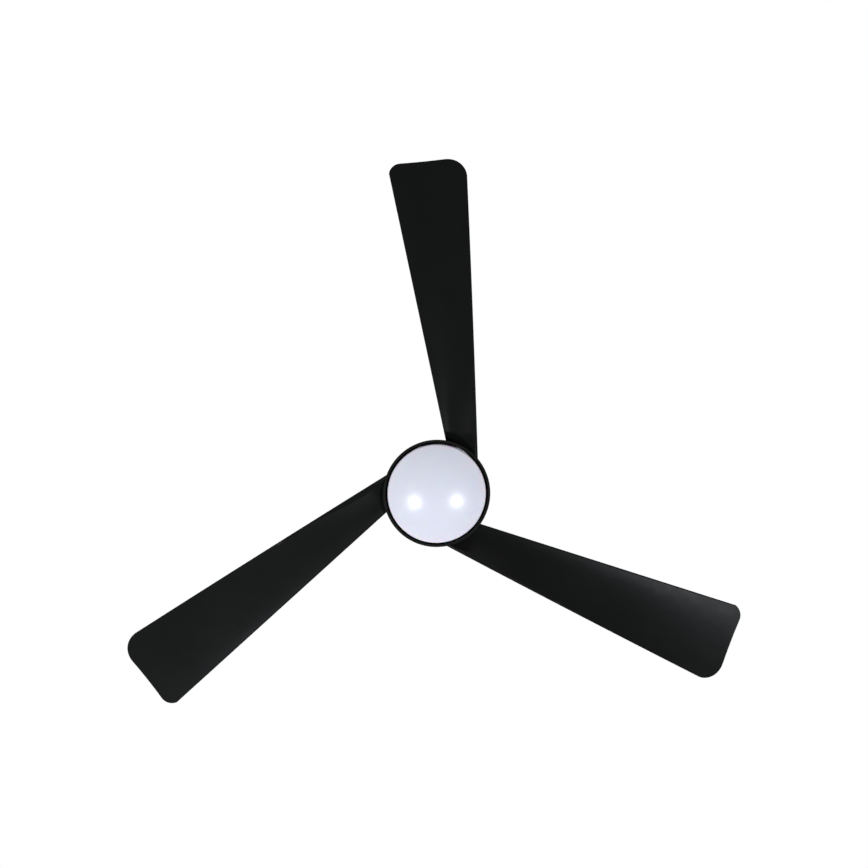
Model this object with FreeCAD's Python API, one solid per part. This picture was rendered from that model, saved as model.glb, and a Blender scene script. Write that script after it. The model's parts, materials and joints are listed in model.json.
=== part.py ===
import FreeCAD, Part
import math
import os

# Three-blade ceiling fan with a light, as it hangs. Millimetres.
# Origin: centre of the mounting bracket on the ceiling plane. +Z up, so the whole fan is below z = 0.
# The fixed parts (bracket, canopy) hold a ball joint, the ball holds the downrod, and the downrod holds a
# hollow fixed shaft. The rotor with the three blades turns round that shaft. The light kit hangs from it.

V = FreeCAD.Vector
Z_AXIS = V(0, 0, 1)

# ---- driving dimensions --------------------------------------------------------------------------

# ceiling bracket
PLATE = 2.0
BRACKET_HALF_LENGTH = 68.0
BRACKET_HALF_WIDTH = 19.0
SLOT_SPACING = 96.0
SLOT_LENGTH = 20.0
SLOT_RADIUS = 3.0
WIRE_HOLE_RADIUS = 14.0
TONGUE_REACH = 54.0
ARM_INNER_X = 33.0
ARM_HALF_WIDTH = 16.0
ARM_BOTTOM = -60.0
EAR_DEPTH = 18.0
CANOPY_SCREW_Z = -11.0

# canopy
CANOPY_RADIUS = 75.0
CANOPY_DEPTH = 66.0
CANOPY_CORNER = 32.0
CANOPY_WALL = 1.5
CANOPY_HOLE = 26.0
TRIM_INNER = 24.6

# ball joint and downrod
BALL_Z = -40.0
BALL_RADIUS = 25.4
SEAT_GAP = 0.3
LINER_WALL = 2.8
SEAT_WALL = 2.7
SEAT_MOUTH = 48.0
LINER_MOUTH = 46.0
LINER_TOP = 69.0
ROD_RADIUS = 13.0
ROD_WALL = 2.0
ROD_TOP = -30.0
ROD_BOTTOM = -177.0
ROD_FIT = 0.05
PIN_RADIUS = 3.0
PIN_HOLE = 3.05
SET_SCREW_Z = -50.0
SET_SCREW_RADIUS = 2.5
LEAD_RADIUS = 2.3
LEAD_OFFSET = 5.8
PLUG_BOTTOM = -21.5

# coupling under the downrod
COVER_TOP = -148.5
COVER_BOTTOM = -188.0
COVER_NECK = 22.4
COVER_SKIRT = 43.0
COUPLING_TOP = -156.0
COUPLING_BOTTOM = -198.0
COUPLING_RADIUS = 19.0
COUPLING_PIN_Z = -168.0
COUPLING_SCREW_Z = -161.0
CLIP_X = 20.6

# motor
SHAFT_RADIUS = 8.5
SHAFT_BORE = 5.5
SHAFT_TOP = -180.0
SHAFT_BOTTOM = -263.0
MOTOR_Z = -232.0
CORE_HALF = 8.0
CORE_RADIUS = 58.0
TEETH = 12
TOOTH_WIDTH = 8.0
POLES = 14
MAGNET_INNER = 59.0
IRON_INNER = 63.0
IRON_OUTER = 66.0
HOUSING_RADIUS = 70.0
HOUSING_TOP = -216.0
HOUSING_BOTTOM = -248.0
BELL_PLATE = 3.0
BELL_RADIUS = 87.0

# bearings, 17 x 40 x 12
BEARING_OUTER = 20.0
BEARING_WIDTH = 12.0
BALL_CIRCLE = 14.25
BEARING_BALL = 3.375
BEARING_BALLS = 8
UPPER_BEARING_Z = -210.0
LOWER_BEARING_Z = -245.0

# hub skirt, made of one 120 degree piece per blade
BLADES = 3
PITCH = 360.0 / BLADES
HUB_BOTTOM = -268.0
HUB_TOP = -210.0
HUB_RADIUS = 95.2
HUB_TOP_RADIUS = 93.2
LIP_INNER = 90.7
SKIRT_WALL = 3.0
SEAM_ANGLE = 45.2
LEAD_ANGLE = 7.5
SEAM_GAP_ANGLE = 0.35
LIP_CLEARANCE = 0.8
ROOT_CUT = 91.2
ROOT_BITE = 1.3
FLANGE_INNER = 73.0
TOP_COVER_TOP = -190.5
TOP_COVER_RADIUS = 89.9
TOP_COVER_HOLE = 30.0
COVER_SCREW_SEAT = -195.2

# blade, in its own frame: x runs out along the span, y towards the trailing edge
TIP_RADIUS = 610.0
TIP_X = 609.4
ROOT_X = 55.0
TRAIL_ROOT = (98.3, 71.9)
TRAIL_SLOPE = -0.0391
TRAIL_BOW = 0.9
LEAD_ROOT = (121.2, 8.5)
LEAD_SLOPE = -0.2147
TIP_SLOPE = 0.06
TIP_LEAD_RADIUS = 22.0
TIP_TRAIL_RADIUS = 39.0
TRAIL_Z = (-267.6, -256.0)
LEAD_Z = (-229.0, -233.0)
THICKNESS = (5.0, 3.6)
CAMBER = (1.8, 1.75)
STRIP_WIDTHS = (4.5, 10.5, 3.6)
STRIP_SWELL = (78.0, 110.0)
STRIP_TAPER = (135.0, 210.0)
STRIP_FADE = (210.0, 330.0)
ROOT_FILLET = 24.0
WEB_DIP = 0.3
WEB_START_ANGLE = 48.0
BLADE_SCREW_CIRCLE = 80.0
BLADE_SCREW_ANGLES = (30.0, 67.0, 105.0)

# light kit
PAN_TOP = -256.0
PAN_BOTTOM = -269.0
PAN_RADIUS = 86.0
LENS_RADIUS = 87.1
LENS_TOP = -269.6
LENS_BOTTOM = -296.0
LENS_WALL = 2.0
COLLAR_OUTER = 80.0
COLLAR_TOP = -261.0
LUG_ANGLE = 16.0
LEDGE_ANGLE = 20.0
BOARD_RADIUS = 75.0
BOARD_TOP = -266.0
BOARD_THICKNESS = 1.6


# ---- helpers -------------------------------------------------------------------------------------

def lerp(pair, u):
    return pair[0] + (pair[1] - pair[0]) * u


def box(x0, x1, y0, y1, z0, z1):
    return Part.makeBox(x1 - x0, y1 - y0, z1 - z0, V(x0, y0, z0))


def rod(radius, start, end):
    start = V(*start)
    along = V(*end) - start
    return Part.makeCylinder(radius, along.Length, start, along)


def upright(radius, z0, z1, x=0.0, y=0.0):
    return Part.makeCylinder(radius, z1 - z0, V(x, y, z0), Z_AXIS)


def tube(outer, inner, z0, z1, x=0.0, y=0.0):
    return upright(outer, z0, z1, x, y).cut(upright(inner, z0 - 1, z1 + 1, x, y))


def turned(shape, degrees):
    copy = shape.copy()
    copy.rotate(V(0, 0, 0), Z_AXIS, degrees)
    return copy


def moved(shape, x=0.0, y=0.0, z=0.0):
    copy = shape.copy()
    copy.translate(V(x, y, z))
    return copy


def ring_of(shape, count, first=0.0):
    return [turned(shape, first + 360.0 * i / count) for i in range(count)]


def sector(radius, z0, z1, start, end):
    wedge = Part.makeCylinder(radius, z1 - z0, V(0, 0, z0), Z_AXIS, end - start)
    return turned(wedge, start)


def polar(radius, degrees):
    a = math.radians(degrees)
    return radius * math.cos(a), radius * math.sin(a)


def fused(shapes):
    return shapes[0].multiFuse(shapes[1:]).removeSplitter()


def path_wire(points):
    """A wire from 3-D points. A point given as (via, end) is reached by an arc through via."""
    edges = []
    here = V(*points[0])
    for point in points[1:]:
        if isinstance(point[0], tuple):
            end = V(*point[1])
            edges.append(Part.Arc(here, V(*point[0]), end).toShape())
        else:
            end = V(*point)
            edges.append(Part.LineSegment(here, end).toShape())
        here = end
    return Part.Wire(edges)


def lathe(outline):
    """A solid of revolution about Z from a closed outline of (radius, z) points, arcs as in path_wire."""
    def lifted(p):
        return (p[0], 0.0, p[1])
    points = []
    for p in outline + outline[:1]:
        points.append((lifted(p[0]), lifted(p[1])) if isinstance(p[0], tuple) else lifted(p))
    return Part.Face(path_wire(points)).revolve(V(0, 0, 0), Z_AXIS, 360)


def rounded_polygon(corners, radii):
    """A closed wire in the XY plane with a tangent arc of its own radius at each corner."""
    edges = []
    count = len(corners)
    ends = []
    for i, radius in enumerate(radii):
        corner = V(*corners[i], 0)
        back = (V(*corners[i - 1], 0) - corner).normalize()
        ahead = (V(*corners[(i + 1) % count], 0) - corner).normalize()
        half = back.getAngle(ahead) / 2
        reach = radius / math.tan(half)
        middle = (back + ahead).normalize()
        top = corner + middle * (radius / math.sin(half) - radius)
        ends.append((corner + back * reach, top, corner + ahead * reach))
    for i, (start, top, end) in enumerate(ends):
        edges.append(Part.Arc(start, top, end).toShape())
        edges.append(Part.LineSegment(end, ends[(i + 1) % count][0]).toShape())
    return Part.Wire(edges)


def tangent_path(corners, radii):
    """An open wire of straight runs joined by tangent arcs, with one radius for each corner inside it."""
    points = [V(*c) for c in corners]
    edges = []
    here = points[0]
    for before, corner, after, radius in zip(points, points[1:], points[2:], radii):
        back = (before - corner).normalize()
        ahead = (after - corner).normalize()
        half = back.getAngle(ahead) / 2
        reach = radius / math.tan(half)
        top = corner + (back + ahead).normalize() * (radius / math.sin(half) - radius)
        edges.append(Part.LineSegment(here, corner + back * reach).toShape())
        here = corner + ahead * reach
        edges.append(Part.Arc(corner + back * reach, top, here).toShape())
    edges.append(Part.LineSegment(here, points[-1]).toShape())
    return Part.Wire(edges)


def prism(wire, z0, z1):
    return moved(Part.Face(wire).extrude(V(0, 0, z1 - z0)), z=z0)


def hexagon(across_flats, z0, z1):
    corners = [V(*polar(across_flats / math.sqrt(3), 60 * i), 0) for i in range(7)]
    return prism(Part.makePolygon(corners), z0, z1)


def pan_head_screw(shank, length, head, head_height, drive=0.5):
    """A screw pointing down, the underside of its head at the origin, with a cross recess."""
    body = upright(shank, -length, 0)
    cap = upright(head, 0, head_height)
    cap = cap.makeFillet(head_height * 0.45, [e for e in cap.Edges if e.BoundBox.ZMin > head_height * 0.9])
    slot = box(-head * drive, head * drive, -0.35 * shank, 0.35 * shank, head_height * 0.5, head_height + 1)
    return fused([body, cap]).cut(slot).cut(turned(slot, 90))


def laid(screw, degrees):
    """The same screw lying along a radius, its head outwards, its axis at the given direction."""
    copy = screw.copy()
    copy.rotate(V(0, 0, 0), V(0, 1, 0), 90)
    copy.rotate(V(0, 0, 0), Z_AXIS, degrees)
    return copy


def export(name, shape):
    solids = shape if isinstance(shape, list) else [shape]
    for solid in solids:
        assert solid.isValid() and len(solid.Solids) == 1, name
    Part.makeCompound([s.Solids[0] for s in solids]).exportStep(f"parts/{name}.step")


# ---- ceiling side --------------------------------------------------------------------------------

def mounting_bracket():
    plate = box(-BRACKET_HALF_LENGTH, BRACKET_HALF_LENGTH, -BRACKET_HALF_WIDTH, BRACKET_HALF_WIDTH, -PLATE, 0)
    tongue = box(-22, 22, -TONGUE_REACH, TONGUE_REACH, -PLATE, 0)
    pieces = [plate, tongue]
    for side in (-1, 1):
        ear_x = sorted((side * BRACKET_HALF_LENGTH, side * (BRACKET_HALF_LENGTH + PLATE)))
        pieces.append(box(*ear_x, -12, 12, -EAR_DEPTH, 0))
        arm_x = sorted((side * ARM_INNER_X, side * (ARM_INNER_X + PLATE)))
        pieces.append(box(*arm_x, -ARM_HALF_WIDTH, ARM_HALF_WIDTH, ARM_BOTTOM, -PLATE))
    floor_z = (ARM_BOTTOM, ARM_BOTTOM + PLATE)
    pieces.append(box(-ARM_INNER_X, ARM_INNER_X, -ARM_HALF_WIDTH, ARM_HALF_WIDTH, *floor_z))
    # dished seat for the ball's liner
    seat_inner = BALL_RADIUS + SEAT_GAP + LINER_WALL + SEAT_GAP
    seat_outer = seat_inner + SEAT_WALL
    dish = Part.makeSphere(seat_outer, V(0, 0, BALL_Z))
    zone = box(-40, 40, -40, 40, BALL_Z - seat_outer * math.cos(math.radians(SEAT_MOUTH)), BALL_Z - 12)
    pieces.append(dish.common(zone))
    bracket = fused(pieces)
    bracket = bracket.cut(Part.makeSphere(seat_inner, V(0, 0, BALL_Z)))
    opening = seat_inner * math.sin(math.radians(SEAT_MOUTH))
    bracket = bracket.cut(upright(opening, -70, -45))
    # the way in for the downrod
    way_in = ROD_RADIUS + 0.8
    bracket = bracket.cut(box(-way_in, way_in, -40, 0, -70, BALL_Z - 10))
    # register stud that stops the ball turning about the vertical
    stud = rod(2.2, (ARM_INNER_X + 0.5, 0, BALL_Z), (BALL_RADIUS - 1.5, 0, BALL_Z))
    bracket = fused([bracket, stud])
    bracket = bracket.cut(upright(WIRE_HOLE_RADIUS, -PLATE - 1, 1))
    for side in (-1, 1):
        middle = side * SLOT_SPACING / 2
        reach = SLOT_LENGTH / 2 - SLOT_RADIUS
        slot = box(middle - reach, middle + reach, -SLOT_RADIUS, SLOT_RADIUS, -PLATE - 1, 1)
        ends = [upright(SLOT_RADIUS, -PLATE - 1, 1, middle + s * reach) for s in (-1, 1)]
        bracket = bracket.cut(fused([slot] + ends))
        outside = side * (BRACKET_HALF_LENGTH + PLATE + 1)
        inside = side * (BRACKET_HALF_LENGTH - 1)
        bracket = bracket.cut(rod(1.75, (inside, 0, CANOPY_SCREW_Z), (outside, 0, CANOPY_SCREW_Z)))
    for x in (-15, 15):
        bracket = bracket.cut(upright(1.5, -PLATE - 1, 1, x, 50))
    return bracket.cut(upright(1.75, -PLATE - 1, 1, 15, -47))


def receiver_module():
    shell = prism(rounded_polygon([(-42, 22), (42, 22), (42, 46), (-42, 46)], [3] * 4), -26, -PLATE)
    lid_groove = box(-43, 43, 21, 47, -8, -7.4)
    core = box(-41.5, 41.5, 22.5, 45.5, -9, -6)
    feet = [box(x - 4, x + 4, 45, 54, -PLATE - 2, -PLATE) for x in (-15, 15)]
    body = fused([shell.cut(lid_groove.cut(core))] + feet)
    for x in (-15, 15):
        body = body.cut(upright(1.6, -10, 0, x, 50))
    # output socket
    return body.cut(box(-9, 9, 20, 28, -20, -12))


def receiver_screws():
    screw = pan_head_screw(1.5, 4.0, 2.8, 1.8)
    screw.rotate(V(0, 0, 0), V(1, 0, 0), 180)
    return [moved(screw, x=x, y=50, z=-PLATE - 2) for x in (-15, 15)]


def terminal_block():
    body = prism(rounded_polygon([(-18, -42), (10, -42), (10, -26), (-18, -26)], [1.5] * 4), -15, -PLATE)
    for x in (-13, -4, 5):
        body = body.cut(rod(2.0, (x, -43, -9), (x, -25, -9)))
        body = body.cut(upright(2.2, -16, -11, x, -34))
    return body


def earth_screw():
    screw = pan_head_screw(1.75, PLATE, 3.8, 2.4)
    screw.rotate(V(0, 0, 0), V(1, 0, 0), 180)
    return moved(screw, x=15, y=-47, z=-PLATE)


def canopy():
    inner = CANOPY_RADIUS - CANOPY_WALL
    centre_r = CANOPY_RADIUS - CANOPY_CORNER
    centre_z = -CANOPY_DEPTH + CANOPY_CORNER
    diagonal = math.sqrt(0.5)

    def on_corner(radius):
        return (centre_r + radius * diagonal, centre_z - radius * diagonal)

    inner_corner = CANOPY_CORNER - CANOPY_WALL
    shell = lathe([
        (CANOPY_RADIUS, 0),
        (CANOPY_RADIUS, centre_z),
        (on_corner(CANOPY_CORNER), (centre_r, -CANOPY_DEPTH)),
        (CANOPY_HOLE, -CANOPY_DEPTH),
        (CANOPY_HOLE, -CANOPY_DEPTH + CANOPY_WALL),
        (centre_r, -CANOPY_DEPTH + CANOPY_WALL),
        (on_corner(inner_corner), (inner, centre_z)),
        (inner, 0),
    ])
    for side in (-1, 1):
        hole = rod(2.1, (side * 60, 0, CANOPY_SCREW_Z), (side * 80, 0, CANOPY_SCREW_Z))
        shell = shell.cut(hole)
    return shell


def canopy_screws():
    screw = pan_head_screw(1.75, 7.5, 3.8, 2.2)
    head_x = CANOPY_RADIUS
    placed = [laid(moved(screw, z=head_x), angle) for angle in (0, 180)]
    return [moved(s, z=CANOPY_SCREW_Z) for s in placed]


def canopy_trim_ring():
    bottom = -CANOPY_DEPTH
    return lathe([
        (TRIM_INNER, bottom + 3),
        (TRIM_INNER, bottom - 1.0),
        ((TRIM_INNER + 0.4, bottom - 1.9), (TRIM_INNER + 1.3, bottom - 2.2)),
        (29.5, bottom - 2.2),
        ((31.0, bottom - 1.6), (31.6, bottom)),
        (CANOPY_HOLE - 0.2, bottom),
        (CANOPY_HOLE - 0.2, bottom + 3),
    ])


# ---- ball joint and downrod ----------------------------------------------------------------------

def ball_seat_liner():
    inner = BALL_RADIUS + SEAT_GAP
    outer = inner + LINER_WALL
    shell = Part.makeSphere(outer, V(0, 0, BALL_Z)).cut(Part.makeSphere(inner, V(0, 0, BALL_Z)))
    low = BALL_Z - outer * math.cos(math.radians(LINER_MOUTH))
    high = BALL_Z - inner * math.cos(math.radians(LINER_TOP))
    ring = shell.common(box(-40, 40, -40, 40, low, high))
    return ring.cut(upright(inner * math.sin(math.radians(LINER_MOUTH)), -80, high))


def hanger_ball():
    ball = Part.makeSphere(BALL_RADIUS, V(0, 0, BALL_Z))
    ball = ball.common(box(-30, 30, -30, 30, BALL_Z - 18, BALL_Z + 18))
    ball = ball.cut(upright(ROD_RADIUS + ROD_FIT, -80, 0))
    # groove for the bracket's register stud
    ball = ball.cut(box(BALL_RADIUS - 3, 30, -2.6, 2.6, -80, 0))
    # cross hole for the hanger pin, and the tapped hole for the set screw
    ball = ball.cut(rod(PIN_HOLE, (0, -30, BALL_Z), (0, 30, BALL_Z)))
    return ball.cut(rod(SET_SCREW_RADIUS, (0, -30, SET_SCREW_Z), (0, 0, SET_SCREW_Z)))


def hanger_pin():
    return rod(PIN_RADIUS, (0, -20, BALL_Z), (0, 20, BALL_Z))


def ball_set_screw():
    screw = rod(SET_SCREW_RADIUS, (0, -ROD_RADIUS, SET_SCREW_Z), (0, -21.0, SET_SCREW_Z))
    key = hexagon(2.5, 0, 3)
    key.rotate(V(0, 0, 0), V(1, 0, 0), -90)
    return screw.cut(moved(key, y=-22, z=SET_SCREW_Z))


def downrod():
    pipe = tube(ROD_RADIUS, ROD_RADIUS - ROD_WALL, ROD_BOTTOM, ROD_TOP)
    pipe = pipe.cut(rod(PIN_HOLE, (0, -20, BALL_Z), (0, 20, BALL_Z)))
    return pipe.cut(rod(PIN_HOLE, (-20, 0, COUPLING_PIN_Z), (20, 0, COUPLING_PIN_Z)))


def lead_bundle():
    """Motor and light leads: beside both cross pins, down the hollow shaft, to the board's connector."""
    side = LEAD_OFFSET
    corners = [
        (side, side, PLUG_BOTTOM),
        (side, side, -173.0),
        (0, 0, SHAFT_TOP - 3.0),
        (0, 0, BOARD_TOP - 10.0),
        (12, 0, BOARD_TOP - 10.0),
    ]
    route = tangent_path(corners, [8.0, 8.0, 8.0])
    section = Part.Wire([Part.makeCircle(LEAD_RADIUS, V(*corners[0]), Z_AXIS)])
    return route.makePipeShell([section], True, False)


def lead_plug():
    half_x = 7.0
    half_y = 4.5
    wall = 1.5
    corners = [(-half_x, -half_y), (half_x, -half_y), (half_x, half_y), (-half_x, half_y)]
    shell = prism(rounded_polygon(corners, [1.0] * 4), PLUG_BOTTOM, PLUG_BOTTOM + 12)
    mouth_z = (PLUG_BOTTOM + 8, PLUG_BOTTOM + 13)
    socket = box(wall - half_x, half_x - wall, wall - half_y, half_y - wall, *mouth_z)
    return moved(shell.cut(socket), LEAD_OFFSET, LEAD_OFFSET)


# ---- coupling ------------------------------------------------------------------------------------

def coupling_cover():
    wall = 1.6
    neck = COVER_NECK
    waist = neck + 5.1
    skirt = COVER_SKIRT
    return lathe([
        (ROD_RADIUS + 0.4, COVER_TOP),
        (neck - 2.4, COVER_TOP),
        ((neck - 0.8, COVER_TOP - 0.5), (neck, COVER_TOP - 2.5)),
        ((waist, COVER_TOP - 24.5), (skirt, COVER_BOTTOM)),
        (skirt - wall, COVER_BOTTOM),
        ((waist - wall, COVER_TOP - 23.8), (neck - wall, COVER_TOP - 2.5)),
        ((neck - wall - 0.3, COVER_TOP - 1.9), (neck - 2.4, COVER_TOP - wall)),
        (ROD_RADIUS + 0.4, COVER_TOP - wall),
    ])


def motor_coupling():
    body = lathe([
        (ROD_RADIUS + ROD_FIT, COUPLING_TOP),
        (COUPLING_RADIUS - 1, COUPLING_TOP),
        (COUPLING_RADIUS, COUPLING_TOP - 1),
        (COUPLING_RADIUS, COUPLING_BOTTOM + 12),
        (COUPLING_RADIUS + 5, COUPLING_BOTTOM + 10),
        (COUPLING_RADIUS + 5, COUPLING_BOTTOM + 6),
        (COUPLING_RADIUS - 2, COUPLING_BOTTOM + 4.5),
        (COUPLING_RADIUS - 3.5, COUPLING_BOTTOM),
        (SHAFT_RADIUS + ROD_FIT, COUPLING_BOTTOM),
        (SHAFT_RADIUS + ROD_FIT, ROD_BOTTOM),
        (ROD_RADIUS + ROD_FIT, ROD_BOTTOM),
    ])
    body = body.cut(rod(PIN_HOLE, (-30, 0, COUPLING_PIN_Z), (30, 0, COUPLING_PIN_Z)))
    return body.cut(rod(SET_SCREW_RADIUS, (0, -30, COUPLING_SCREW_Z), (0, 30, COUPLING_SCREW_Z)))


def coupling_pin():
    pin = rod(PIN_RADIUS, (-20.2, 0, COUPLING_PIN_Z), (22.6, 0, COUPLING_PIN_Z))
    head = rod(4.4, (-21.8, 0, COUPLING_PIN_Z), (-COUPLING_RADIUS - 0.4, 0, COUPLING_PIN_Z))
    return fused([pin, head]).cut(rod(0.9, (CLIP_X, -5, COUPLING_PIN_Z), (CLIP_X, 5, COUPLING_PIN_Z)))


def coupling_clip():
    """Spring clip: one leg through the pin's cross hole, the other round the pin's end."""
    wire = 0.7
    x = CLIP_X
    z = COUPLING_PIN_Z
    points = [(x, -4.5, z), (x, 5.5, z), ((x, 7.0, z - 1.9), (x, 5.5, z - 3.8)), (x, -4.5, z - 3.8)]
    section = Part.Wire([Part.makeCircle(wire, V(x, -4.5, z), V(0, 1, 0))])
    return path_wire(points).makePipeShell([section], True, False)


def coupling_set_screws():
    screws = []
    for side in (-1, 1):
        z = COUPLING_SCREW_Z
        screw = rod(SET_SCREW_RADIUS, (0, side * ROD_RADIUS, z), (0, side * 19.6, z))
        slot_y = sorted((side * 18.4, side * 20))
        screws.append(screw.cut(box(-3, 3, *slot_y, z - 0.5, z + 0.5)))
    return screws


# ---- motor ---------------------------------------------------------------------------------------

def motor_shaft():
    shaft = tube(SHAFT_RADIUS, SHAFT_BORE, SHAFT_BOTTOM, SHAFT_TOP)
    # side hole where the stator's leads leave the bore
    return shaft.cut(rod(2.2, (0, 0, -220), (0, 12, -220)))


def stator_spider():
    z0 = MOTOR_Z - 6
    z1 = MOTOR_Z + 6
    pieces = [tube(13, SHAFT_RADIUS, z0, z1), tube(30, 26.5, z0, z1)]
    pieces += ring_of(box(12, 27, -2.5, 2.5, z0, z1), 6)
    return fused(pieces)


def tooth_spread(half_height, yoke_outer=38.0, tooth_end=54.5, width=TOOTH_WIDTH):
    pieces = [tube(yoke_outer, 30, MOTOR_Z - half_height, MOTOR_Z + half_height)]
    tooth = box(37, tooth_end, -width / 2, width / 2, MOTOR_Z - half_height, MOTOR_Z + half_height)
    return pieces + ring_of(tooth, TEETH)


def stator_core():
    shoe = sector(CORE_RADIUS, MOTOR_Z - CORE_HALF, MOTOR_Z + CORE_HALF, -12.2, 12.2)
    shoe = shoe.cut(upright(54, MOTOR_Z - 20, MOTOR_Z + 20))
    return fused(tooth_spread(CORE_HALF) + ring_of(shoe, TEETH))


def stator_insulators():
    frame = fused(tooth_spread(CORE_HALF + 1.0, 37.5, 53.5, TOOTH_WIDTH + 0.8))
    slab = box(-70, 70, -70, 70, MOTOR_Z + CORE_HALF, MOTOR_Z + CORE_HALF + 1.0)
    upper = frame.common(slab)
    lower = frame.common(moved(slab, z=-2 * CORE_HALF - 1.0))
    return [upper, lower]


def stator_windings():
    """One wound coil round each tooth, a rounded ring with bulging end turns."""
    half_hole_y = TOOTH_WIDTH / 2 + 0.5
    half_hole_z = CORE_HALF + 1.1
    build = 3.2

    def rectangle(half_y, half_z, radius):
        corners = [(-half_y, -half_z), (half_y, -half_z), (half_y, half_z), (-half_y, half_z)]
        return prism(rounded_polygon(corners, [radius] * 4), 0, 13.5)

    coil = rectangle(half_hole_y + build, half_hole_z + build, 3.0)
    coil = coil.cut(rectangle(half_hole_y, half_hole_z, 0.1))
    coil.rotate(V(0, 0, 0), V(0, 0, 1), 90)
    coil.rotate(V(0, 0, 0), V(0, 1, 0), 90)
    return ring_of(moved(coil, x=39, z=MOTOR_Z), TEETH)


def bearing_race(inner, outer, z):
    race = tube(outer, inner, z - BEARING_WIDTH / 2, z + BEARING_WIDTH / 2)
    groove = Part.makeTorus(BALL_CIRCLE, BEARING_BALL + 0.25, V(0, 0, z), Z_AXIS)
    return race.cut(groove)


def bearing_balls(z):
    ball = Part.makeSphere(BEARING_BALL, V(BALL_CIRCLE, 0, z))
    return ring_of(ball, BEARING_BALLS)


def bearing_cage(z):
    cage = tube(15.9, 12.6, z - 4.9, z + 1.2)
    for ball in ring_of(Part.makeSphere(BEARING_BALL + 0.12, V(BALL_CIRCLE, 0, z)), BEARING_BALLS):
        cage = cage.cut(ball)
    return cage


def lower_spacer():
    return tube(11.5, SHAFT_RADIUS, PAN_TOP, LOWER_BEARING_Z - BEARING_WIDTH / 2)


# ---- rotor ---------------------------------------------------------------------------------------

def housing_screw_places():
    return [polar(HOUSING_RADIUS - 2, 20 + 60 * i) for i in range(6)]


def cover_screw_places():
    return [polar(50, 60 + 120 * i) for i in range(3)]


def blade_screw_places():
    angles = [90 + PITCH * k + a for k in range(BLADES) for a in BLADE_SCREW_ANGLES]
    return [polar(BLADE_SCREW_CIRCLE, a) for a in angles]


def rotor_upper_bell():
    top = HOUSING_TOP + BELL_PLATE
    bell = fused([
        tube(BELL_RADIUS, BEARING_OUTER, HOUSING_TOP, top),
        tube(24.5, BEARING_OUTER, HOUSING_TOP - 1, -203),
    ] + ring_of(box(24, 62, -1.5, 1.5, top - 1, top + 3), 6, 30))
    for x, y in housing_screw_places():
        bell = bell.cut(upright(1.6, -230, -200, x, y))
    for x, y in cover_screw_places():
        bell = bell.cut(upright(1.4, -230, -200, x, y))
    for x, y in blade_screw_places():
        bell = bell.cut(upright(2.0, -230, -200, x, y))
    for vent in ring_of(upright(5.5, -230, -211, 38), 6):
        bell = bell.cut(vent)
    return bell


def rotor_lower_bell():
    bottom = HOUSING_BOTTOM - BELL_PLATE
    bell = fused([
        tube(HOUSING_RADIUS, BEARING_OUTER, bottom, HOUSING_BOTTOM),
        tube(24.5, BEARING_OUTER, bottom, LOWER_BEARING_Z + BEARING_WIDTH / 2 + 0.5),
        tube(HOUSING_RADIUS, IRON_OUTER, HOUSING_BOTTOM, HOUSING_TOP),
    ])
    for x, y in housing_screw_places():
        bell = bell.cut(upright(1.5, HOUSING_TOP - 9, HOUSING_TOP + 1, x, y))
    for vent in ring_of(upright(5.5, bottom - 1, HOUSING_BOTTOM + 1, 46), 6, 30):
        bell = bell.cut(vent)
    return bell


def rotor_ring():
    return tube(IRON_OUTER, IRON_INNER, HOUSING_BOTTOM, HOUSING_TOP)


def rotor_magnets():
    magnet = sector(IRON_INNER, MOTOR_Z - 11, MOTOR_Z + 11, -11, 11)
    magnet = magnet.cut(upright(MAGNET_INNER, MOTOR_Z - 20, MOTOR_Z + 20))
    return ring_of(magnet, POLES)


def housing_screws():
    screw = pan_head_screw(1.5, 11.0, 2.6, 1.9)
    return [moved(screw, x, y, HOUSING_TOP + BELL_PLATE) for x, y in housing_screw_places()]


def hub_top_cover():
    """Shallow dome over the rotor, standing on the blades' flanges, with three screw bosses."""
    wall = 2.0
    edge = TOP_COVER_RADIUS
    shell = lathe([
        (TOP_COVER_HOLE, TOP_COVER_TOP),
        ((66.0, TOP_COVER_TOP - 4.5), (edge - 1.9, HUB_TOP + 3.5)),
        ((edge - 0.5, HUB_TOP + 2.1), (edge, HUB_TOP)),
        (edge - wall, HUB_TOP),
        ((edge - wall - 0.5, HUB_TOP + 1.4), (edge - wall - 2.9, HUB_TOP + 3.0)),
        ((65.0, TOP_COVER_TOP - 6.4), (TOP_COVER_HOLE + wall, TOP_COVER_TOP - wall)),
        (TOP_COVER_HOLE + wall, TOP_COVER_TOP - 5.5),
        (TOP_COVER_HOLE, TOP_COVER_TOP - 5.5),
    ])
    for x, y in cover_screw_places():
        boss = upright(4.0, HOUSING_TOP + BELL_PLATE, COVER_SCREW_SEAT + 1.7, x, y)
        shell = shell.fuse(boss).removeSplitter()
        shell = shell.cut(upright(1.6, HOUSING_TOP, TOP_COVER_TOP + 5, x, y))
        shell = shell.cut(upright(3.4, COVER_SCREW_SEAT, TOP_COVER_TOP + 5, x, y))
    return shell


def top_cover_screws():
    screw = pan_head_screw(1.4, 21.0, 2.9, 1.6)
    return [moved(screw, x, y, COVER_SCREW_SEAT) for x, y in cover_screw_places()]


def blade_screws():
    screw = pan_head_screw(2.0, 8.0, 4.0, 2.6)
    return [moved(screw, x, y, HUB_TOP + 1.0) for x, y in blade_screw_places()]


def blade_washers():
    return [tube(4.6, 2.2, HUB_TOP, HUB_TOP + 1.0, x, y) for x, y in blade_screw_places()]


# ---- blades --------------------------------------------------------------------------------------

def trailing_y(x):
    u = (x - TRAIL_ROOT[0]) / (TIP_RADIUS - TRAIL_ROOT[0])
    return TRAIL_ROOT[1] + TRAIL_SLOPE * (x - TRAIL_ROOT[0]) + TRAIL_BOW * 4 * u * (1 - u)


def leading_y(x):
    return LEAD_ROOT[1] + LEAD_SLOPE * (x - LEAD_ROOT[0])


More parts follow.
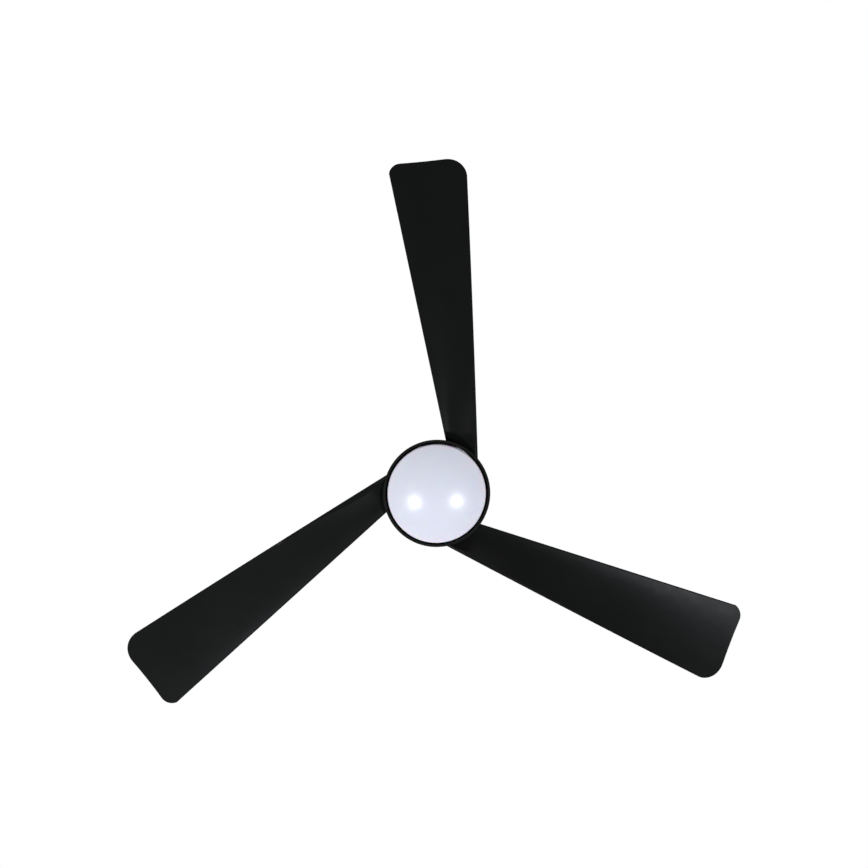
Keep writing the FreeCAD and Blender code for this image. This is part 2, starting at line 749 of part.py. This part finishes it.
def span_share(x):
    return (x - ROOT_X) / (TIP_RADIUS - ROOT_X)


def eased(x, ends):
    share = min(1.0, max(0.0, (x - ends[0]) / (ends[1] - ends[0])))
    return share * share * (3 - 2 * share)


def strip_width(x):
    root, widest, tip = STRIP_WIDTHS
    return root + (widest - root) * eased(x, STRIP_SWELL) + (tip - widest) * eased(x, STRIP_TAPER)


def strip_strength(x):
    return 1 - eased(x, STRIP_FADE)


def blade_section(x):
    """One chordwise section: its underside from the strip's crease to the leading edge, and its top."""
    u = span_share(x)
    y_trail = trailing_y(x)
    y_lead = leading_y(x)
    chord = y_trail - y_lead
    z_trail = lerp(TRAIL_Z, u)
    rise = lerp(LEAD_Z, u) - z_trail
    power = lerp(CAMBER, u)
    crease = strip_width(x) / chord
    strength = strip_strength(x)
    nose = lerp(THICKNESS, u) / 2

    def smooth(s):
        return z_trail + rise * (1 - (1 - s) ** power)

    def under(s):
        beyond = (s - crease) / (1 - crease)
        stepped = z_trail + rise * (1 - (1 - beyond) ** power)
        return strength * stepped + (1 - strength) * smooth(s)

    last = 1 - nose / chord
    steps = 7
    shares = [crease + (last - crease) * i / steps for i in range(steps + 1)]
    below = [(y_trail - s * chord, under(s)) for s in shares]
    first = nose / chord
    shares = [last + (first - last) * i / steps for i in range(steps + 1)]
    above = [(y_trail - s * chord, smooth(s) + 2 * nose) for s in shares]
    return y_trail, y_lead, z_trail, nose, below, above


def spline(points, x):
    curve = Part.BSplineCurve()
    curve.interpolate([V(x, y, z) for y, z in points])
    return curve.toShape()


def paddle_wire(x):
    y_trail, y_lead, z_trail, nose, below, above = blade_section(x)
    start = V(x, y_trail - nose, above[-1][1] - 2 * nose)
    crease = V(x, *below[0])
    lead_low = V(x, *below[-1])
    lead_high = V(x, *above[0])
    trail_high = V(x, *above[-1])
    return Part.Wire([
        Part.LineSegment(start, crease).toShape(),
        spline(below, x),
        Part.Arc(lead_low, V(x, y_lead, (lead_low.z + lead_high.z) / 2), lead_high).toShape(),
        spline(above, x),
        Part.Arc(trail_high, V(x, y_trail, (start.z + trail_high.z) / 2), start).toShape(),
    ])


def under_wire(x):
    """The space below the paddle, between its crease and a little in front of its leading edge."""
    _, y_lead, _, _, below, _ = blade_section(x)
    floor = HUB_BOTTOM - 20
    front = y_lead - 12
    last = below[-1]
    return Part.Wire([
        spline(below, x),
        Part.LineSegment(V(x, *last), V(x, front, last[1])).toShape(),
        Part.LineSegment(V(x, front, last[1]), V(x, front, floor)).toShape(),
        Part.LineSegment(V(x, front, floor), V(x, below[0][0], floor)).toShape(),
        Part.LineSegment(V(x, below[0][0], floor), V(x, *below[0])).toShape(),
    ])


def tip_outline():
    """Plan of the blade, tangent to its edges at the tip and wider than it towards the root."""
    tip_trail = (TIP_X + TIP_SLOPE * trailing_y(TIP_RADIUS), trailing_y(TIP_RADIUS))
    tip_lead = (TIP_X + TIP_SLOPE * leading_y(TIP_RADIUS), leading_y(TIP_RADIUS))
    root_x = 20.0
    trail_slope = TRAIL_SLOPE - 4 * TRAIL_BOW / (TIP_RADIUS - TRAIL_ROOT[0])
    root_trail = (root_x, tip_trail[1] - trail_slope * (tip_trail[0] - root_x) + 1.0)
    root_lead = (root_x, leading_y(root_x) - 2.0)
    radii = [1.0, TIP_TRAIL_RADIUS, TIP_LEAD_RADIUS, 1.0]
    return rounded_polygon([root_trail, tip_trail, tip_lead, root_lead], radii)


def skirt_ring():
    return lathe([
        (HUB_RADIUS - 0.8, HUB_BOTTOM),
        ((HUB_RADIUS - 0.23, HUB_BOTTOM + 0.23), (HUB_RADIUS, HUB_BOTTOM + 0.8)),
        (HUB_TOP_RADIUS, HUB_TOP - 3.0),
        ((HUB_TOP_RADIUS - 0.9, HUB_TOP - 0.9), (HUB_TOP_RADIUS - 3.0, HUB_TOP)),
        (FLANGE_INNER, HUB_TOP),
        (FLANGE_INNER, HUB_TOP - SKIRT_WALL),
        (HUB_TOP_RADIUS - SKIRT_WALL, HUB_TOP - SKIRT_WALL),
        (HUB_RADIUS - SKIRT_WALL, HUB_BOTTOM + 4.0),
        (LIP_INNER, HUB_BOTTOM + 2.4),
        (LIP_INNER, HUB_BOTTOM),
    ])


def fillet_centre():
    """Centre of the root's concave edge, which touches the hub and dips just inside the trailing edge."""
    reach = HUB_RADIUS + ROOT_FILLET
    x = reach / 2
    for _ in range(20):
        y = trailing_y(x) + ROOT_FILLET - WEB_DIP
        x = math.sqrt(reach ** 2 - y ** 2)
    return x, y


def root_web():
    """Fills the corner between the hub and the trailing edge, with a concave edge."""
    cx, cy = fillet_centre()
    angle = math.degrees(math.atan2(cy, cx))
    touch = polar(HUB_RADIUS, angle)
    foot = (cx, cy - ROOT_FILLET)
    inner = polar(HUB_RADIUS - 2.0, WEB_START_ANGLE)
    inner_top = polar(HUB_RADIUS - 2.0, angle)
    toward = math.atan2(foot[1] - cy, foot[0] - cx) + math.atan2(touch[1] - cy, touch[0] - cx)
    via = (cx + ROOT_FILLET * math.cos(toward / 2), cy + ROOT_FILLET * math.sin(toward / 2))
    z = HUB_BOTTOM + 0.2
    outline = path_wire([
        (*touch, z), ((*via, z), (*foot, z)), (foot[0], foot[1] - 4, z), (*inner, z), (*inner_top, z),
        (*touch, z)])
    return Part.Face(outline).extrude(V(0, 0, THICKNESS[0]))


def blade():
    low = HUB_BOTTOM - 5
    near = [45, 60, 75, 90, 105, 120]
    stations = near + [145, 170, 195, 240, 300, 370, 450, 530, 600, 640]
    paddle = Part.makeLoft([paddle_wire(x) for x in stations], True, False)
    paddle = paddle.common(prism(tip_outline(), low, HUB_TOP))
    paddle = paddle.cut(upright(ROOT_CUT, low, HUB_TOP))
    under = Part.makeLoft([under_wire(x) for x in near], True, False)
    ring = skirt_ring()
    reach = HUB_RADIUS + 5
    # the wall over its own root ends inside the paddle
    own = ring.common(sector(reach, low, 0, LEAD_ANGLE + 0.6, SEAM_ANGLE)).cut(moved(under, z=ROOT_BITE))
    plain = ring.common(sector(reach, low, 0, SEAM_ANGLE, PITCH + LEAD_ANGLE - SEAM_GAP_ANGLE))
    # the lip under the next blade's root
    lip_start = PITCH + LEAD_ANGLE - 1.0
    lip_end = PITCH + SEAM_ANGLE - SEAM_GAP_ANGLE
    lip = ring.common(sector(reach, low, HUB_TOP - 12, lip_start, lip_end))
    lip = lip.common(turned(moved(under, z=-LIP_CLEARANCE), PITCH))
    moulding = fused([paddle, own, plain, lip, root_web()])
    for angle in BLADE_SCREW_ANGLES:
        moulding = moulding.cut(upright(2.3, -230, -200, *polar(BLADE_SCREW_CIRCLE, angle)))
    return moulding


# ---- light kit -----------------------------------------------------------------------------------

def light_pan():
    """Pressed pan with three inward ledges that carry the lens's lugs, each with a stop at one end."""
    wall = 1.6
    pieces = [
        tube(PAN_RADIUS, SHAFT_RADIUS + 0.1, PAN_TOP - PLATE, PAN_TOP),
        tube(PAN_RADIUS, PAN_RADIUS - wall, PAN_BOTTOM, PAN_TOP),
    ]
    half = LEDGE_ANGLE / 2
    ledge = sector(PAN_RADIUS - 0.5, -267.0, -265.6, -half, half)
    stop = sector(PAN_RADIUS - 0.5, -267.0, -260.0, -half - 2.5, -half + 0.8)
    hook = fused([ledge, stop]).cut(upright(COLLAR_OUTER + 0.7, -280, -250))
    return fused(pieces + ring_of(hook, 3))


def shaft_washer():
    return tube(14, SHAFT_RADIUS + 0.1, PAN_TOP - PLATE - 1.5, PAN_TOP - PLATE)


def shaft_nut():
    top = PAN_TOP - PLATE - 1.5
    return hexagon(24, top - 3.2, top).cut(upright(SHAFT_RADIUS, -280, -250))


def standoff_places():
    return [polar(50, 45 + 90 * i) for i in range(4)]


def board_standoffs():
    return [tube(3.2, 1.4, BOARD_TOP, PAN_TOP - PLATE, x, y) for x, y in standoff_places()]


def led_board():
    bottom = BOARD_TOP - BOARD_THICKNESS
    board = tube(BOARD_RADIUS, 6.0, bottom, BOARD_TOP)
    for x, y in standoff_places():
        board = board.cut(upright(1.6, -280, -250, x, y))
    return board


def board_screws():
    screw = pan_head_screw(1.4, 6.0, 2.7, 1.7)
    screw.rotate(V(0, 0, 0), V(1, 0, 0), 180)
    return [moved(screw, x, y, BOARD_TOP - BOARD_THICKNESS) for x, y in standoff_places()]


def led_chips():
    bottom = BOARD_TOP - BOARD_THICKNESS
    chips = []
    for radius, count in ((34.0, 8), (64.0, 16)):
        chip = box(radius - 1.75, radius + 1.75, -1.4, 1.4, bottom - 0.8, bottom)
        chips += ring_of(chip, count, 11.25)
    return chips


def board_connector():
    bottom = BOARD_TOP - BOARD_THICKNESS
    return box(12, 22, -5, 5, bottom - 12.0, bottom)


def diffuser():
    """Opal dome with an inner collar, and three outward lugs that lie on the pan's ledges."""
    edge_round = 3.2
    edge_r = LENS_RADIUS - edge_round
    edge_z = LENS_TOP - 5.4
    drop = edge_z - LENS_BOTTOM
    sphere = (edge_r ** 2 + drop ** 2) / (2 * drop)
    centre_z = LENS_BOTTOM + sphere

    def on_sphere(radius, r):
        return (r, centre_z - math.sqrt(radius ** 2 - r ** 2))

    inner = sphere - LENS_WALL
    inner_r = COLLAR_OUTER - LENS_WALL
    shell = lathe([
        (0, LENS_BOTTOM),
        (on_sphere(sphere, edge_r / 2), (edge_r, edge_z)),
        ((LENS_RADIUS - 0.8, edge_z + 2.1), (LENS_RADIUS, edge_z + 4.6)),
        (LENS_RADIUS, LENS_TOP),
        (COLLAR_OUTER, LENS_TOP),
        (COLLAR_OUTER, COLLAR_TOP),
        (inner_r, COLLAR_TOP),
        on_sphere(inner, inner_r),
        (on_sphere(inner, inner_r / 2), (0, centre_z - inner)),
    ])
    half = LUG_ANGLE / 2
    lug = sector(83.6, -265.0, -263.0, -half, half).cut(upright(COLLAR_OUTER - 1, -280, -250))
    return fused([shell] + ring_of(lug, 3))


# ---- all nodes -----------------------------------------------------------------------------------

def main():
    os.makedirs("parts", exist_ok=True)
    export("mounting_bracket", mounting_bracket())
    export("receiver_module", receiver_module())
    export("receiver_screws", receiver_screws())
    export("terminal_block", terminal_block())
    export("earth_screw", earth_screw())
    export("canopy", canopy())
    export("canopy_screws", canopy_screws())
    export("canopy_trim_ring", canopy_trim_ring())

    export("ball_seat_liner", ball_seat_liner())
    export("hanger_ball", hanger_ball())
    export("hanger_pin", hanger_pin())
    export("ball_set_screw", ball_set_screw())
    export("downrod", downrod())
    export("lead_bundle", lead_bundle())
    export("lead_plug", lead_plug())

    export("coupling_cover", coupling_cover())
    export("motor_coupling", motor_coupling())
    export("coupling_pin", coupling_pin())
    export("coupling_clip", coupling_clip())
    export("coupling_set_screws", coupling_set_screws())

    export("motor_shaft", motor_shaft())
    export("stator_spider", stator_spider())
    export("stator_core", stator_core())
    export("stator_insulators", stator_insulators())
    export("stator_windings", stator_windings())
    export("lower_spacer", lower_spacer())
    for name, z in (("upper", UPPER_BEARING_Z), ("lower", LOWER_BEARING_Z)):
        export(f"{name}_bearing_inner", bearing_race(SHAFT_RADIUS, 12.0, z))
        export(f"{name}_bearing_outer", bearing_race(16.5, BEARING_OUTER, z))
        export(f"{name}_bearing_balls", bearing_balls(z))
        export(f"{name}_bearing_cage", bearing_cage(z))

    export("rotor_upper_bell", rotor_upper_bell())
    export("rotor_lower_bell", rotor_lower_bell())
    export("rotor_ring", rotor_ring())
    export("rotor_magnets", rotor_magnets())
    export("housing_screws", housing_screws())
    export("hub_top_cover", hub_top_cover())
    export("top_cover_screws", top_cover_screws())
    export("blade_screws", blade_screws())
    export("blade_washers", blade_washers())
    one_blade = blade()
    for k in range(BLADES):
        export(f"blade_{k + 1}", turned(one_blade, 90 + PITCH * k))

    export("light_pan", light_pan())
    export("shaft_washer", shaft_washer())
    export("shaft_nut", shaft_nut())
    export("board_standoffs", board_standoffs())
    export("led_board", led_board())
    export("board_screws", board_screws())
    export("led_chips", led_chips())
    export("board_connector", board_connector())
    export("diffuser", diffuser())


main()
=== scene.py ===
import json
import math

import bpy
from mathutils import Matrix, Vector


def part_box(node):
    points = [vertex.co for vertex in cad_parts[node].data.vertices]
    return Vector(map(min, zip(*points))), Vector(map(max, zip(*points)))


# Ceiling fan with a light, in metres. The origin is on the ceiling plane at the bracket's centre, +Z up.

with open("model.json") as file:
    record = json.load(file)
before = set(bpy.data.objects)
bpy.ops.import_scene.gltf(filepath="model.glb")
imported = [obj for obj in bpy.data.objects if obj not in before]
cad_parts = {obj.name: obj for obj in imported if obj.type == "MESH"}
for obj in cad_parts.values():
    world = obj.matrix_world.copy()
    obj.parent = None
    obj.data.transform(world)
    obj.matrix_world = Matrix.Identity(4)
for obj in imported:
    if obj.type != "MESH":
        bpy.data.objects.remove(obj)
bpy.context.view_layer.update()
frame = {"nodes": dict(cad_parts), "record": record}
NODES = frame["nodes"]

# ---- camera, lights and stage -------------------------------------------------------------------------

# the camera stands 1.2 m below the fan and looks almost straight up, with +Y at the top of its picture
CAMERA_AT = Vector((-0.0401, 0.1347, -1.4698))
CAMERA_TARGET = Vector((-0.0947, 0.1730, -0.268))
CAMERA_UP = Vector((0, 1, 0))
CAMERA_LENS = 27.84
CAMERA_SENSOR = 36.0
CAMERA_SHIFT = (-0.0646, -0.0436)
CAMERA_REACH = 50.0

# each lamp's direction and distance from the light cover's centre
KEY_DIRECTIONS = ((0.478, -0.262, -0.838), (-0.386, -0.240, -0.891))
KEY_DISTANCES = (1.7, 6.0)
# a lamp's width over its distance, and its power over its distance squared
KEY_SPREAD = 0.12
KEY_POWER = 4.7
KEY_COLOUR = (0.90, 0.94, 1.0)

BACKDROP_COLOUR = (1, 1, 1, 1)
STUDIO_COLOUR = (0.97, 0.98, 1.0, 1)
# strength of the studio's light against the height of its direction, from straight down to straight up
STUDIO_LEVELS = ((-1.0, 0.08), (-0.35, 0.10), (-0.08, 0.6), (0.12, 0.7), (0.5, 0.8), (1.0, 0.9))

FLOOR_Z = -2.4
FLOOR_REACH = 6.0
FLOOR_COLOUR = (0.86, 0.86, 0.85, 1)
FLOOR_ROUGHNESS = 0.8


def add_camera():
    data = bpy.data.cameras.new("camera")
    data.lens = CAMERA_LENS
    data.sensor_width = CAMERA_SENSOR
    data.shift_x, data.shift_y = CAMERA_SHIFT
    data.clip_end = CAMERA_REACH
    camera = bpy.data.objects.new("camera", data)
    bpy.context.scene.collection.objects.link(camera)
    forward = (CAMERA_TARGET - CAMERA_AT).normalized()
    right = forward.cross(CAMERA_UP).normalized()
    up = right.cross(forward)
    turn = Matrix((right, up, -forward)).transposed().to_4x4()
    camera.matrix_world = Matrix.Translation(CAMERA_AT) @ turn
    bpy.context.scene.camera = camera


def add_world():
    """Plain white behind the fan, and a softer light on it that is strongest from above."""
    world = bpy.data.worlds.new("studio")
    bpy.context.scene.world = world
    world.use_nodes = True
    nodes = world.node_tree.nodes
    links = world.node_tree.links
    nodes.clear()

    place = nodes.new("ShaderNodeTexCoord")
    split = nodes.new("ShaderNodeSeparateXYZ")
    links.new(place.outputs["Generated"], split.inputs["Vector"])
    share = nodes.new("ShaderNodeMapRange")
    share.inputs["From Min"].default_value = -1.0
    share.inputs["From Max"].default_value = 1.0
    links.new(split.outputs["Z"], share.inputs["Value"])
    level = nodes.new("ShaderNodeValToRGB")
    stops = level.color_ramp.elements
    while len(stops) < len(STUDIO_LEVELS):
        stops.new(0.5)
    for stop, (height, strength) in zip(stops, STUDIO_LEVELS):
        stop.position = (height + 1) / 2
        stop.color = (strength, strength, strength, 1)
    links.new(share.outputs["Result"], level.inputs["Fac"])

    studio = nodes.new("ShaderNodeBackground")
    studio.inputs["Color"].default_value = STUDIO_COLOUR
    links.new(level.outputs["Color"], studio.inputs["Strength"])
    backdrop = nodes.new("ShaderNodeBackground")
    backdrop.inputs["Color"].default_value = BACKDROP_COLOUR
    path = nodes.new("ShaderNodeLightPath")
    mix = nodes.new("ShaderNodeMixShader")
    links.new(path.outputs["Is Camera Ray"], mix.inputs["Fac"])
    links.new(studio.outputs["Background"], mix.inputs[1])
    links.new(backdrop.outputs["Background"], mix.inputs[2])
    output = nodes.new("ShaderNodeOutputWorld")
    links.new(mix.outputs["Shader"], output.inputs["Surface"])


def add_lights():
    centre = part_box("diffuser")[0].lerp(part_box("diffuser")[1], 0.5)
    for index, (direction, distance) in enumerate(zip(KEY_DIRECTIONS, KEY_DISTANCES)):
        data = bpy.data.lights.new(f"key_{index + 1}", "AREA")
        data.shape = "DISK"
        data.size = KEY_SPREAD * distance
        data.energy = KEY_POWER * distance ** 2
        data.color = KEY_COLOUR
        lamp = bpy.data.objects.new(data.name, data)
        bpy.context.scene.collection.objects.link(lamp)
        lamp.location = centre + Vector(direction).normalized() * distance
        lamp.rotation_euler = (centre - lamp.location).to_track_quat("-Z", "Y").to_euler()


def add_floor():
    """A backdrop that the camera sees: its light on the fan is part of the studio's levels."""
    mesh = bpy.data.meshes.new("floor")
    corners = [(x * FLOOR_REACH, y * FLOOR_REACH, FLOOR_Z) for x, y in ((-1, -1), (1, -1), (1, 1), (-1, 1))]
    mesh.from_pydata(corners, [], [(0, 1, 2, 3)])
    floor = bpy.data.objects.new("floor", mesh)
    bpy.context.scene.collection.objects.link(floor)
    material = bpy.data.materials.new("floor")
    material.use_nodes = True
    shader = material.node_tree.nodes["Principled BSDF"]
    shader.inputs["Base Color"].default_value = FLOOR_COLOUR
    shader.inputs["Roughness"].default_value = FLOOR_ROUGHNESS
    mesh.materials.append(material)
    floor.visible_diffuse = False
    floor.visible_glossy = False
    floor.visible_shadow = False


# ---- materials ----------------------------------------------------------------------------------------

DUST_COLOUR = (0.085, 0.080, 0.072, 1)
# the upward part of a face's normal at which dust starts, and at which it is full
DUST_SLOPE = (0.35, 0.95)
# patches of dust to a metre
DUST_PATCHES = 26.0

# how closely the scuffs' noise is packed along X, Y and Z: each hairline runs along X
SCUFF_SCALE = (40.0, 900.0, 300.0)
SCUFF_DULLING = 0.35

# patches of tone and of gloss to a metre of moulded plastic
MOULDED_CLOUDS = 9.0
MOULDED_GLOSS_PATCHES = 38.0
# weight of the light that passes into a translucent plastic
GLOW_WEIGHT = 0.25

# gloss patches on metal are this much finer than its clouds of tone
METAL_GLOSS_FINENESS = 2.3

# radians that the wave texture turns through in a metre, at scale 1
WAVE_RATE = 20
# ridges one above another, and ridges wound round the fan's axis
LAYERS = {"bands_direction": "Z"}
TURNS = {"wave_type": "RINGS", "rings_direction": "Z"}

# sockets of the Mix node when it mixes colours
MIX_FIRST, MIX_SECOND, MIX_RESULT = 6, 7, 2


def tinted(colour, share):
    return tuple(min(1.0, part * share) for part in colour)


def with_alpha(tone):
    """A full colour from a colour or a grey level."""
    return (*tone, 1) if isinstance(tone, tuple) else (tone, tone, tone, 1)


class Surface:
    """A principled material with small helpers for its procedural nodes."""

    def __init__(self, name, **sockets):
        self.name = name
        self.material = bpy.data.materials.new(name)
        self.material.use_nodes = True
        self.tree = self.material.node_tree
        self.shader = self.tree.nodes["Principled BSDF"]
        for socket, value in sockets.items():
            self.shader.inputs[socket.replace("_", " ")].default_value = value
        texture = self.node("ShaderNodeTexCoord")
        self.place = texture.outputs["Object"]
        self.facing = texture.outputs["Normal"]
        self.bumps = None

    def node(self, kind, **values):
        node = self.tree.nodes.new(kind)
        for key, value in values.items():
            setattr(node, key, value)
        return node

    def link(self, source, target):
        self.tree.links.new(source, target)

    def math(self, operation, first, second):
        node = self.node("ShaderNodeMath", operation=operation)
        self.link(first, node.inputs[0])
        self.link(second, node.inputs[1])
        return node.outputs["Value"]

    def stretched(self, scale):
        mapping = self.node("ShaderNodeMapping")
        mapping.inputs["Scale"].default_value = scale
        self.link(self.place, mapping.inputs["Vector"])
        return mapping.outputs["Vector"]

    def noise(self, scale, detail=3.0, rough=0.55, vector=None):
        node = self.node("ShaderNodeTexNoise")
        node.inputs["Scale"].default_value = scale
        node.inputs["Detail"].default_value = detail
        node.inputs["Roughness"].default_value = rough
        self.link(vector or self.place, node.inputs["Vector"])
        return node.outputs["Fac"]

    def ramp(self, source, low, high, start=0.3, end=0.7):
        node = self.node("ShaderNodeValToRGB")
        first, last = node.color_ramp.elements
        first.position = start
        last.position = end
        first.color = with_alpha(low)
        last.color = with_alpha(high)
        self.link(source, node.inputs["Fac"])
        return node.outputs["Color"]

    def colour(self, source):
        self.link(source, self.shader.inputs["Base Color"])

    def roughness(self, source):
        self.link(source, self.shader.inputs["Roughness"])

    def bump(self, source, height):
        """Adds relief on top of any that the surface already has."""
        node = self.node("ShaderNodeBump")
        node.inputs["Strength"].default_value = 1.0
        node.inputs["Distance"].default_value = height
        self.link(source, node.inputs["Height"])
        if self.bumps is not None:
            self.link(self.bumps, node.inputs["Normal"])
        self.bumps = node.outputs["Normal"]
        self.link(self.bumps, self.shader.inputs["Normal"])

    def dusted(self, source, amount):
        """Thin uneven dust on whatever faces up."""
        split = self.node("ShaderNodeSeparateXYZ")
        self.link(self.facing, split.inputs["Vector"])
        up = self.ramp(split.outputs["Z"], 0.0, amount, *DUST_SLOPE)
        patches = self.noise(DUST_PATCHES, detail=6.0, rough=0.65)
        cover = self.math("MULTIPLY", up, self.ramp(patches, 0.35, 1.0, start=0.35))
        mix = self.node("ShaderNodeMix", data_type="RGBA")
        self.link(cover, mix.inputs["Factor"])
        self.link(source, mix.inputs[MIX_FIRST])
        mix.inputs[MIX_SECOND].default_value = DUST_COLOUR
        return mix.outputs[MIX_RESULT]

    def scuffed(self, source, rough):
        """Sparse fine hairlines, a little duller than the surface round them."""
        lines = self.noise(1.0, detail=2.0, rough=0.5, vector=self.stretched(SCUFF_SCALE))
        worn = self.ramp(lines, 0.0, rough * SCUFF_DULLING, start=0.66, end=0.74)
        return self.math("ADD", source, worn)


def moulded(name, colour, rough, spread=0.10, grain=2600.0, height=0.00003, level=0.5, depth=0.0, dust=0.0):
    """Moulded plastic: fine even texture, faint cloudiness, hairline scuffs, and dust on top of it."""
    surface = Surface(name, Roughness=rough, Specular_IOR_Level=level)
    if depth:
        surface.shader.inputs["Subsurface Weight"].default_value = GLOW_WEIGHT
        surface.shader.inputs["Subsurface Scale"].default_value = depth
    clouds = surface.noise(MOULDED_CLOUDS, detail=4.0)
    tone = surface.ramp(clouds, tinted(colour, 1 - spread), tinted(colour, 1 + spread))
    surface.colour(surface.dusted(tone, dust))
    patches = surface.noise(MOULDED_GLOSS_PATCHES, detail=5.0)
    surface.roughness(surface.scuffed(surface.ramp(patches, rough * 0.94, rough * 1.07), rough))
    surface.bump(surface.noise(grain, detail=2.0), height)
    return surface


def metal(name, colour, rough, spread=0.08, cloud=60.0, grain=900.0, height=0.00002, metallic=1.0):
    """Bare or plated metal: uneven tone and gloss, with a fine surface grain."""
    surface = Surface(name, Roughness=rough, Metallic=metallic)
    clouds = surface.noise(cloud, detail=5.0)
    surface.colour(surface.ramp(clouds, tinted(colour, 1 - spread), tinted(colour, 1 + spread)))
    patches = surface.noise(cloud * METAL_GLOSS_FINENESS, detail=6.0)
    surface.roughness(surface.ramp(patches, rough * 0.75, rough * 1.25))
    surface.bump(surface.noise(grain), height)
    return surface


def ridged(surface, pitch, height, **wave):
    """Adds fine even ridges, which run the way that the wave texture's settings say."""
    waves = surface.node("ShaderNodeTexWave", **wave)
    waves.inputs["Scale"].default_value = 2 * math.pi / (WAVE_RATE * pitch)
    surface.link(surface.place, waves.inputs["Vector"])
    surface.bump(waves.outputs["Fac"], height)
    return surface


def opal(name):
    """Milky plastic with a satin skin, lit by what falls on it."""
    surface = Surface(name, Roughness=0.28, Subsurface_Weight=0.3, Subsurface_Scale=0.01)
    surface.colour(surface.ramp(surface.noise(14.0), (0.972, 0.866, 0.953), (0.978, 0.872, 0.958)))
    surface.roughness(surface.ramp(surface.noise(60.0, detail=5.0), 0.24, 0.27))
    surface.bump(surface.noise(900.0, detail=2.0), 0.00001)
    return surface


def build_materials():
    surfaces = [
        moulded("black_abs", (0.0098, 0.0099, 0.0093), 0.33, level=0.060, dust=0.22),
        moulded("black_trim", (0.006, 0.006, 0.0065), 0.45, dust=0.15),
        moulded("black_paint", (0.007, 0.007, 0.0075), 0.5, grain=1500.0, height=0.00008, dust=0.15),
        moulded("ball_nylon", (0.012, 0.012, 0.013), 0.5, spread=0.3, grain=1300.0),
        moulded("liner_rubber", (0.03, 0.03, 0.03), 0.85, spread=0.2, grain=1800.0, height=0.00006),
        moulded("terminal_nylon", (0.78, 0.77, 0.72), 0.45, spread=0.03, depth=0.002),
        moulded("receiver_shell", (0.72, 0.72, 0.71), 0.4, spread=0.03),
        moulded("lead_sheath", (0.01, 0.01, 0.011), 0.55, spread=0.2),
        moulded("cage_nylon", (0.5, 0.4, 0.24), 0.5, depth=0.002),
        moulded("insulator", (0.76, 0.73, 0.64), 0.5, spread=0.04, depth=0.001),
        moulded("ferrite", (0.03, 0.03, 0.033), 0.6, spread=0.25, grain=1100.0, height=0.00005),
        moulded("board_white", (0.8, 0.8, 0.78), 0.3, spread=0.02, grain=700.0),
        moulded("led_phosphor", (0.8, 0.58, 0.09), 0.35, spread=0.05),
        metal("zinc_steel", (0.56, 0.58, 0.60), 0.36, spread=0.12, cloud=110.0),
        metal("fasteners", (0.55, 0.55, 0.57), 0.3, cloud=260.0),
        metal("black_fasteners", (0.02, 0.02, 0.021), 0.42, cloud=260.0, metallic=0.6),
        metal("cast_iron_coupling", (0.12, 0.12, 0.125), 0.6, spread=0.25, grain=420.0, height=0.0002),
        metal("cast_aluminium", (0.62, 0.63, 0.64), 0.48, spread=0.1, grain=380.0, height=0.00015),
        ridged(metal("ground_steel", (0.62, 0.62, 0.64), 0.24), 0.0004, 0.00001, **LAYERS),
        ridged(metal("laminated_steel", (0.32, 0.33, 0.36), 0.42, spread=0.15), 0.0005, 0.0001, **LAYERS),
        ridged(metal("copper", (0.65, 0.23, 0.07), 0.26, spread=0.15), 0.0009, 0.0003, **TURNS),
        opal("opal"),
    ]
    return {surface.name: surface.material for surface in surfaces}


def dress():
    """Gives every CAD node the material of its slot in the record."""
    materials = build_materials()
    slots = {part["node"]: part["material_slot"] for part in frame["record"]["subparts"]}
    for node, piece in NODES.items():
        piece.data.materials.clear()
        piece.data.materials.append(materials[slots[node]])


bpy.context.scene.view_settings.view_transform = "Standard"
add_camera()
add_world()
add_lights()
add_floor()
dress()
